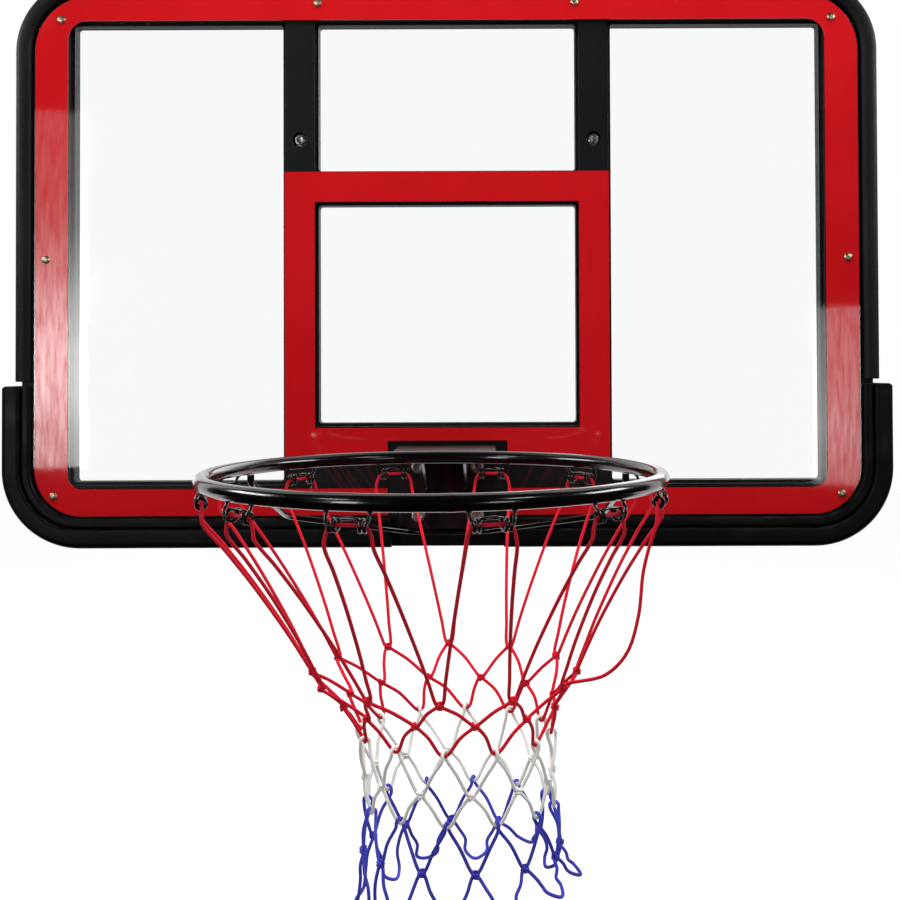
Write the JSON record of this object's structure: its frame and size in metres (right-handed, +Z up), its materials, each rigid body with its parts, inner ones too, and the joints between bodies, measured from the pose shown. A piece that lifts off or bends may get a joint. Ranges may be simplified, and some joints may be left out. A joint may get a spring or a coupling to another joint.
{
  "type": "basketball hoop",
  "caption": "Wall-mounted basketball hoop: framed clear backboard with red border and target, padded lower edge, fixed steel rim, wire net hooks and a red, white and blue net.",
  "frame": {"origin": "on the flat rear face of the backboard frame, on its centre line, at the height of the rim's plane", "axes": "+X along the board, +Y into the wall behind it, +Z up; the board faces -Y"},
  "size_m": [1.222, 0.7014, 1.1046],
  "materials": {
    "frame_plastic": "moulded black, fine satin grain",
    "clear_sheet": "clear polycarbonate, glossy, lightly scratched",
    "red_print": "glossy screen print",
    "pad_foam": "dense black foam with a satin skin",
    "yellow_zinc": "yellow zinc plate",
    "bright_zinc": "bright zinc plate",
    "rim_paint": "gloss black powder coat",
    "red_cord": "woven nylon cord",
    "white_cord": "woven nylon cord",
    "blue_cord": "woven nylon cord"
  },
  "bodies": {
    "board": {"board_frame": "frame_plastic", "clear_sheet": "clear_sheet", "border_print": "red_print", "target_print": "red_print", "bottom_pad": "pad_foam", "rim_ring": "rim_paint", "rim_bracket": "rim_paint", "rim_gusset_left": "rim_paint", "rim_gusset_right": "rim_paint", "ring_brace": "rim_paint", "rim_backing_plate": "rim_paint", "sheet_screw_top_corner_left": "yellow_zinc", "sheet_screw_top_corner_right": "yellow_zinc", "sheet_screw_top_inner_left": "yellow_zinc", "sheet_screw_top_inner_right": "yellow_zinc", "sheet_screw_side_left": "yellow_zinc", "sheet_screw_side_right": "yellow_zinc", "sheet_screw_bottom_corner_left": "yellow_zinc", "sheet_screw_bottom_corner_right": "yellow_zinc", "sheet_screw_bottom_inner_left": "yellow_zinc", "sheet_screw_bottom_inner_right": "yellow_zinc", "wall_bolt_left": "bright_zinc", "wall_bolt_right": "bright_zinc", "wall_bolt_washer_left": "bright_zinc", "wall_bolt_washer_right": "bright_zinc", "rim_bolt_upper_left": "bright_zinc", "rim_washer_upper_left": "bright_zinc", "rim_nut_upper_left": "bright_zinc", "rim_bolt_upper_right": "bright_zinc", "rim_washer_upper_right": "bright_zinc", "rim_nut_upper_right": "bright_zinc", "rim_bolt_lower_left": "bright_zinc", "rim_washer_lower_left": "bright_zinc", "rim_nut_lower_left": "bright_zinc", "rim_bolt_lower_right": "bright_zinc", "rim_washer_lower_right": "bright_zinc", "rim_nut_lower_right": "bright_zinc", "net_hook_01": "rim_paint", "net_hook_02": "rim_paint", "net_hook_03": "rim_paint", "net_hook_04": "rim_paint", "net_hook_05": "rim_paint", "net_hook_06": "rim_paint", "net_hook_07": "rim_paint", "net_hook_08": "rim_paint", "net_hook_09": "rim_paint", "net_hook_10": "rim_paint", "net_hook_11": "rim_paint", "net_hook_12": "rim_paint"},
    "red_tier": {"net_red": "red_cord"},
    "white_tier": {"net_white": "white_cord"},
    "blue_tier": {"net_blue": "blue_cord"}
  },
  "joints": [
    {"name": "net_swing", "type": "hinge", "parent": "board", "child": "red_tier", "pos_m": [0, -0.4118, -0.0198], "axis": [1, 0, 0], "range_deg": [-10, 10], "deforming": ["net_red"]},
    {"name": "white_tier_swing", "type": "hinge", "parent": "red_tier", "child": "white_tier", "pos_m": [0.022, -0.4118, -0.266], "axis": [0, 1, 0], "range_deg": [-15, 15], "deforming": ["net_white"]},
    {"name": "blue_tier_swing", "type": "hinge", "parent": "white_tier", "child": "blue_tier", "pos_m": [0.027, -0.4118, -0.341], "axis": [1, 0, 0], "range_deg": [-20, 20], "deforming": ["net_blue"]}
  ]
}
